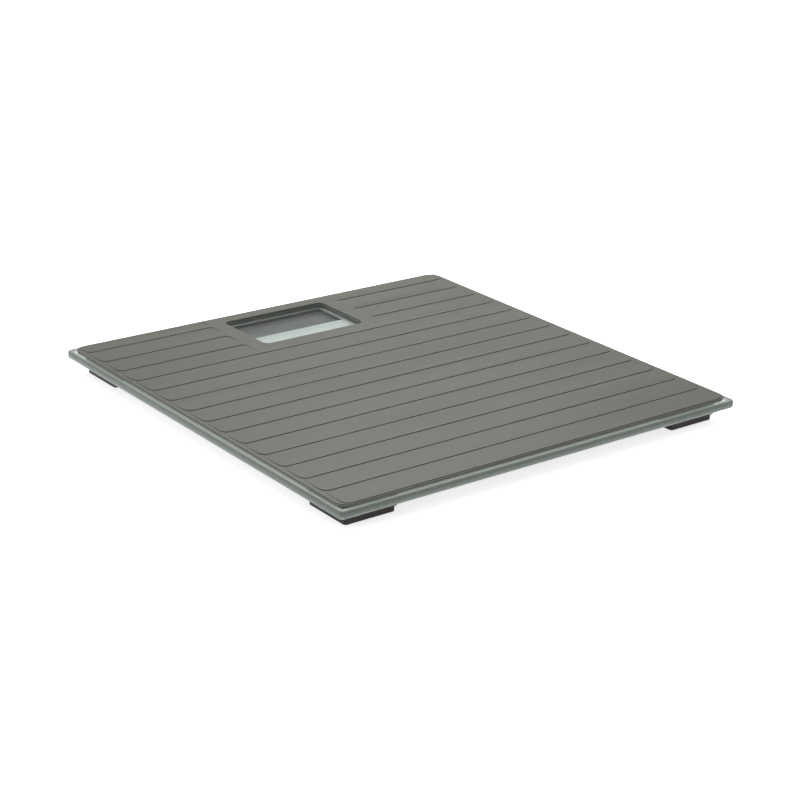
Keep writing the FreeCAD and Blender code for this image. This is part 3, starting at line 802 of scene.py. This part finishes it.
def edge_round(radius: float, steps: int, start_degrees: float) -> np.ndarray:
    """Quarter circle for a rounded edge, as offsets from the circle's middle.

    Args:
        radius: Radius of the edge.
        steps: Steps along it.
        start_degrees: Angle where it starts; it turns a quarter turn anticlockwise from there.

    Returns:
        Offsets across and up.
    """
    a = np.radians(start_degrees) + np.linspace(0.0, math.pi / 2, steps + 1)
    return radius * np.stack([np.cos(a), np.sin(a)], axis=-1)


@dataclass
class GlassPlatform:
    """One sheet of tempered glass with rounded corners and ground, bevelled edges.

    The sheet reaches a hair into the film and the tapes stuck to it, as glue wets glass.
    """

    corner_radius: float = 3.0 * MM
    bevel: float = 0.8 * MM
    wetting: float = 0.02 * MM
    softness: float = 0.12 * MM
    arc_steps: int = 24

    def profile(self, bottom: float, top: float) -> np.ndarray:
        """Distance in from the edge and height, from the underside up to the top.

        Each corner of the bevelled edge is cut again by a short facet, so that it takes a highlight.

        Args:
            bottom: Height of the underside.
            top: Height of the top.

        Returns:
            Rows of distance in and height.
        """
        b, s = self.bevel, self.softness
        low = np.array([[b + s, 0.0], [b - 0.7 * s, 0.7 * s], [0.7 * s, b - 0.7 * s], [0.0, b + s]])
        high = low[::-1] * np.array([1.0, -1.0])
        return np.concatenate([low + [0.0, bottom], high + [0.0, top]])

    def build(self, materials: dict[str, bpy.types.Material]) -> bpy.types.Object:
        """Makes the sheet: the outline carried up the edge's profile, closed by one face above and one below.

        Args:
            materials: Materials by slot.

        Returns:
            The sheet.
        """
        low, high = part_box("glass_platform")
        width, depth = high.x - low.x, high.y - low.y
        profile = self.profile(low.z - self.wetting, high.z + self.wetting)
        rings = []
        for inwards, height in profile:
            line = rounded_outline(width - 2 * inwards, depth - 2 * inwards, self.corner_radius - inwards,
                                   arc_steps=self.arc_steps)
            rings.append(np.column_stack([line, np.full(len(line), height)]))
        points = np.concatenate(rings)
        count = len(rings[0])
        faces = grid_faces(len(rings), count, False, True).tolist()
        faces.append(list(range(count))[::-1])
        faces.append([(len(rings) - 1) * count + n for n in range(count)])
        shell = Shell.empty()
        shell.add(points, faces)
        sheet = shell.make("glass_sheet", materials["clear_glass"])
        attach(sheet, "scale")
        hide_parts("glass_platform")
        return sheet


@dataclass
class SlattedMat:
    """Grey mat on the glass: a border, a raised surround round the display window and fifteen slats.

    Each slat is a long wedge that rises from its heel at the back to a lip at the front.
    """

    corner_radius: float = 8.0 * MM
    base_thickness: float = 1.35 * MM
    slat_count: int = 15
    heel_rise: float = 0.06 * MM
    crown: float = 0.03 * MM
    root: float = 0.3 * MM
    side_margin: float = 3.0 * MM
    front_margin: float = 1.1 * MM
    first_lip_distance: float = 14.0 * MM
    slat_corner: float = 5.0 * MM
    surround_half: float = 51.0 * MM
    inner_radius: float = 3.0 * MM
    window_width: float = 79.0 * MM
    window_depth: float = 50.2 * MM
    window_back_margin: float = 10.9 * MM
    window_corner: float = 4.0 * MM
    window_lap: float = 1.5 * MM
    surround_corner: float = 0.3 * MM
    edge: float = 0.12 * MM
    square_end: tuple[float, ...] = (0.0, 0.05 * MM, 0.12 * MM)
    end_lap: float = 0.1 * MM
    corner_lap: float = 0.3 * MM
    hair: float = 0.01 * MM

    def ring(self, inner: np.ndarray, outer: tuple[float, float, float, tuple[float, float]], bottom: float,
             top: float) -> tuple[np.ndarray, np.ndarray]:
        """A flat ring with rounded upper edges, between an inner outline and an outer rectangle.

        The section runs up the inner wall, round its edge, across the top, round the outer edge, down the
        outer wall and back along the underside. It is carried along matching points of the two outlines.

        Args:
            inner: Width, depth, corner radius and middle of the hole.
            outer: Width, depth, corner radius and middle of the outside.
            bottom: Height of the underside.
            top: Height of the top.

        Returns:
            Points and faces.
        """
        e = self.edge
        turn = edge_round(e, 3, 90.0)
        rows = []
        for off, up in [(0.0, bottom - top + e), *[(e + x, z) for x, z in turn[::-1]]]:
            width, depth, radius, centre = inner
            line = rounded_outline(width + 2 * off, depth + 2 * off, radius + off, centre)
            rows.append(np.column_stack([line, np.full(len(line), top - e + up)]))
        for off, up in [*[(e + x, z) for x, z in turn], (0.0, bottom - top + e)]:
            width, depth, radius, centre = outer
            line = rounded_outline(width - 2 * off, depth - 2 * off, max(radius - off, 1e-5), centre)
            rows.append(np.column_stack([line, np.full(len(line), top - e + up)]))
        faces = grid_faces(len(rows), len(rows[0]), True, True)[:, ::-1]
        return np.concatenate(rows), faces

    def slat(self, x0: float, x1: float, lip: float, heel: float, low: float, border: float, top: float,
             rounded: tuple[bool, bool]) -> tuple[np.ndarray, list[list[int]]]:
        """One slat: its section carried along x.

        The section climbs the lip's wall, turns over a rounded lip, falls to the heel in a line with a slight
        crown and drops down the heel. Towards a rounded end the lip draws back as
        y = lip + r - sqrt(r^2 - (r - d)^2), with d the distance to the end. The last steps sink the section's
        top for a soft end edge.

        Args:
            x0: Left end.
            x1: Right end.
            lip: Where the lip stands.
            heel: Where the heel ends.
            low: Height of the root.
            border: Height of the mat's border.
            top: Height of the lip.
            rounded: Whether the left and the right end are rounded in plan.

        Returns:
            Points and faces.
        """
        r, e = self.slat_corner, self.edge
        bend = r * (1.0 - np.cos(np.linspace(0.0, math.pi / 2, 13)))
        square = np.array(self.square_end)
        left = x0 + (bend if rounded[0] else square)
        right = x1 - (bend if rounded[1] else square)[::-1]
        x = np.concatenate([left, np.linspace(left[-1], right[0], 40)[1:-1], right])
        from_left, from_right = x - x0, x1 - x
        back_off = np.zeros_like(x)
        for wanted, d in ((rounded[0], from_left), (rounded[1], from_right)):
            if wanted:
                inside = np.clip(r - d, 0.0, r)
                back_off = np.maximum(back_off, r - np.sqrt(r * r - inside * inside))
        end = np.minimum(from_left, from_right)
        sink = e - np.sqrt(np.clip(e * e - np.clip(e - end, 0.0, e) ** 2, 0.0, None))
        front = lip + np.minimum(back_off, heel - lip - 3 * e)
        turn = edge_round(e, 3, 90.0)[::-1]
        share = np.linspace(0.0, 1.0, 12)[1:]
        span = heel - (front + e)
        drop = top - border - self.heel_rise
        reach = (front - lip)[:, None]
        slope = drop / (heel - lip)
        flat_y = (front + e)[:, None] + span[:, None] * share[None, :]
        flat_z = top - (flat_y - lip) * slope + self.crown * np.sin(math.pi * share)[None, :]
        lip_z = top - reach * slope
        turn_y = (front + e)[:, None] + turn[None, :, 0]
        turn_z = lip_z - e + turn[None, :, 1]
        y = np.concatenate([front[:, None], turn_y, flat_y, np.full((len(x), 1), heel)], axis=1)
        z = np.concatenate([np.full((len(x), 1), low), turn_z, flat_z, np.full((len(x), 1), low)], axis=1)
        z[:, 1:-1] = np.maximum(z[:, 1:-1] - sink[:, None], low)
        points = np.stack([np.broadcast_to(x[:, None], y.shape), y, z], axis=-1)
        rows, columns = y.shape
        faces = grid_faces(rows, columns, False, True)[:, ::-1].tolist()
        faces.append(list(range(columns)))
        faces.append([(rows - 1) * columns + n for n in range(columns)][::-1])
        return points.reshape(-1, 3), faces

    def inner_corner(self, x: float, lip: float, low: float,
                     top: float) -> tuple[np.ndarray, list[list[int]]]:
        """Fills the corner between a slat's lip and the surround with a hollow curve.

        In plan the part lies between the corner and the arc (x - r + r cos a, lip - r + r sin a).

        Args:
            x: The surround's left wall.
            lip: Where the lip stands.
            low: Height of the root.
            top: Height of the lip.

        Returns:
            Points and faces.
        """
        r, reach = self.inner_radius, self.corner_lap
        a = np.linspace(0.0, math.pi / 2, 10)
        arc = np.column_stack([x - r + r * np.cos(a), lip - r + r * np.sin(a)])
        plan = np.concatenate([[[x + reach, lip - r]], arc, [[x - r, lip + reach], [x + reach, lip + reach]]])
        count = len(plan)
        points = np.concatenate([np.column_stack([plan, np.full(count, z)]) for z in (low, top - self.hair)])
        faces = grid_faces(2, count, False, True)[:, ::-1].tolist()
        faces.append(list(range(count)))
        faces.append([count + n for n in range(count)][::-1])
        return points, faces

    def build(self, materials: dict[str, bpy.types.Material]) -> bpy.types.Object:
        """Makes the mat from its border, surround and slats.

        Args:
            materials: Materials by slot.

        Returns:
            The mat.
        """
        low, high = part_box("top_mat")
        bottom, top = low.z, high.z
        border = bottom + self.base_thickness
        half_x, half_y = high.x, high.y
        window_y = half_y - self.window_back_margin - self.window_depth / 2
        window = (self.window_width, self.window_depth, self.window_corner, (0.0, window_y))
        lap = 2 * self.window_lap
        set_back = (self.window_width + lap, self.window_depth + lap, self.window_corner, (0.0, window_y))
        first_lip = half_y - self.first_lip_distance
        lips = np.linspace(first_lip, -half_y + self.front_margin, self.slat_count)
        heels = np.concatenate([[half_y - self.side_margin], lips[:-1]])
        beside = heels > window_y - self.window_depth / 2
        front = lips[beside.sum() - 1]
        back = half_y - self.side_margin
        shell = Shell.empty()
        outside = (2 * half_x, 2 * half_y, self.corner_radius, (0.0, 0.0))
        shell.add(*self.ring(set_back, outside, bottom, border))
        middle = (0.0, (back + front) / 2)
        surround = (2 * self.surround_half, back - front, self.surround_corner, middle)
        shell.add(*self.ring(window, surround, bottom + self.hair, top))
        root = border - self.root
        end = half_x - self.side_margin
        for lip, heel, split in zip(lips, heels, beside):
            spans = [(-end, end, (True, True))]
            if split:
                inner = self.surround_half - self.end_lap
                spans = [(-end, -inner, (True, False)), (inner, end, (False, True))]
            for x0, x1, rounded in spans:
                shell.add(*self.slat(x0, x1, lip, heel, root, border, top, rounded))
            if split and lip > front:
                shell.add(*self.inner_corner(-self.surround_half, lip, root, top))
        mat = shell.make("slatted_mat", materials["grey_mat"])
        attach(mat, "scale")
        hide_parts("top_mat")
        return mat


@dataclass
class Studio:
    """Plain pale floor, soft lights and the camera.

    Attributes:
        floor_half: Half the floor's side.
        floor_colour: Colour of the floor, linear.
        floor_drift: Share by which clouds darken it.
        floor_glow: How much the floor glows on the scale.
        seen_glow: How much it glows for the camera.
        sky_low: Strength of the sky near the horizon.
        sky_high: Strength of the sky overhead.
        sky_span: Heights on the unit sphere between which it brightens.
        lamps: Name, power in watts, size and place of each lamp.
        camera_place: Where the camera stands.
        camera_yaw: Turn from +Y towards +X, in degrees.
        camera_pitch: Turn down, in degrees.
        camera_roll: Turn about the line of sight, in degrees.
        lens: Focal length for a sensor 36 mm wide.
    """

    floor_half: float = 6.0
    floor_colour: Colour = (0.86, 0.86, 0.86)
    floor_drift: float = 0.015
    floor_glow: float = 0.35
    seen_glow: float = 0.75
    sky_low: float = 0.18
    sky_high: float = 0.66
    sky_span: tuple[float, float] = (0.25, 0.9)
    lamps: tuple[tuple[str, float, float, tuple[float, float, float]], ...] = (
        ("overhead", 7.4, 1.0, (0.10, 0.22, 1.3)),
        ("back", 2.3, 0.4, (0.24, 0.32, 0.52)),
        ("left", 6.0, 0.8, (-1.7, 0.5, 0.36)),
    )
    camera_place: tuple[float, float, float] = (-0.727937, -0.933807, 0.460492)
    camera_yaw: float = 38.125
    camera_pitch: float = 21.362
    camera_roll: float = 1.842
    lens: float = 90.62

    def build(self) -> None:
        """Makes the floor, the lights, the camera and the view's colours."""
        self.floor()
        self.light()
        self.camera()
        scene = bpy.context.scene
        scene.view_settings.view_transform = "Standard"
        scene.view_settings.look = "None"
        scene.cycles.max_bounces = 16
        scene.cycles.transmission_bounces = 12
        scene.cycles.sample_clamp_indirect = 6.0

    def floor(self) -> None:
        """A wide pale floor that glows, clear from below so that the underside can be looked at."""
        h = self.floor_half
        mesh = bpy.data.meshes.new("floor")
        mesh.from_pydata([(-h, -h, 0.0), (h, -h, 0.0), (h, h, 0.0), (-h, h, 0.0)], [], [(0, 1, 2, 3)])
        recipe = Recipe("pale_floor")
        grain = recipe.noise(40.0 * MM, detail=2.0)
        darker = tuple(value * (1.0 - self.floor_drift) for value in self.floor_colour)
        colour = recipe.mix(recipe.span(grain, 0.0, 1.0), self.floor_colour, darker)
        recipe.join(colour, recipe.shader.inputs["Base Color"])
        recipe.fix(Roughness=0.9, Specular_IOR_Level=0.2, Emission_Color=(1.0, 1.0, 1.0))
        seen = recipe.node("LightPath").outputs["Is Camera Ray"]
        glow = recipe.span(seen, self.floor_glow, self.seen_glow)
        recipe.join(glow, recipe.shader.inputs["Emission Strength"])
        choice = recipe.node("MixShader")
        recipe.join(recipe.node("NewGeometry").outputs["Backfacing"], choice.inputs[0])
        recipe.join(recipe.shader.outputs[0], choice.inputs[1])
        recipe.join(recipe.node("BsdfTransparent").outputs[0], choice.inputs[2])
        recipe.join(choice.outputs[0], recipe.output.inputs[0])
        mesh.materials.append(recipe.material)
        made = bpy.data.objects.new("floor", mesh)
        bpy.context.scene.collection.objects.link(made)

    def light(self) -> None:
        """A sky that brightens from the horizon upwards, and soft lamps aimed at the scale's middle."""
        world = bpy.data.worlds.new("studio")
        world.use_nodes = True
        tree = world.node_tree
        sky = tree.nodes["Background"]
        parts = tree.nodes.new("ShaderNodeSeparateXYZ")
        tree.links.new(tree.nodes.new("ShaderNodeTexCoord").outputs["Generated"], parts.inputs[0])
        rise = tree.nodes.new("ShaderNodeMapRange")
        tree.links.new(parts.outputs["Z"], rise.inputs["Value"])
        numbers = (*self.sky_span, self.sky_low, self.sky_high)
        for name, number in zip(("From Min", "From Max", "To Min", "To Max"), numbers):
            rise.inputs[name].default_value = number
        tree.links.new(rise.outputs["Result"], sky.inputs["Strength"])
        sky.inputs["Color"].default_value = (1.0, 1.0, 1.0, 1.0)
        bpy.context.scene.world = world
        for name, power, size, place in self.lamps:
            data = bpy.data.lights.new(name, "AREA")
            data.energy, data.size = power, size
            lamp = bpy.data.objects.new(name, data)
            bpy.context.scene.collection.objects.link(lamp)
            lamp.location = place
            lamp.visible_camera = False
            lamp.rotation_mode = "QUATERNION"
            lamp.rotation_quaternion = (-lamp.location).to_track_quat("-Z", "Y")

    def camera(self) -> None:
        """The camera: yaw from +Y towards +X, pitch down, and a slight roll."""
        yaw, pitch, roll = (math.radians(a) for a in (self.camera_yaw, self.camera_pitch, self.camera_roll))
        level = np.array([math.sin(yaw), math.cos(yaw), 0.0])
        forward = level * math.cos(pitch) - np.array([0.0, 0.0, math.sin(pitch)])
        right = np.array([math.cos(yaw), -math.sin(yaw), 0.0])
        up = np.cross(right, forward)
        across = math.cos(roll) * right + math.sin(roll) * up
        upward = -math.sin(roll) * right + math.cos(roll) * up
        turn = Matrix(np.column_stack([across, upward, -forward]).tolist()).to_4x4()
        data = bpy.data.cameras.new("camera")
        data.sensor_width, data.lens = 36.0, self.lens
        data.clip_start, data.clip_end = 0.01, 50.0
        made = bpy.data.objects.new("camera", data)
        bpy.context.scene.collection.objects.link(made)
        made.matrix_world = Matrix.Translation(self.camera_place) @ turn
        bpy.context.scene.camera = made


def dress(frame: dict, materials: dict[str, bpy.types.Material]) -> None:
    """Gives every CAD node the finish of its slot.

    Args:
        materials: Materials by slot.
    """
    slots = {part["node"]: part["material_slot"] for part in frame["record"]["subparts"]}
    for name, node in frame["nodes"].items():
        node.data.materials.clear()
        node.data.materials.append(materials[slots[name]])
        LOG.info("%s: %s", name, slots[name])


def main() -> None:
    """Loads the CAD part, dresses it, and adds the studio and the modelled pieces."""
    logging.basicConfig(level=logging.INFO, format="%(name)s: %(message)s")
    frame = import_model()
    materials = {slot: finish.build() for slot, finish in FINISHES.items()}
    dress(frame, materials)
    Studio().build()
    GlassPlatform().build(materials)
    SlattedMat().build(materials)


if __name__ == "__main__":
    main()
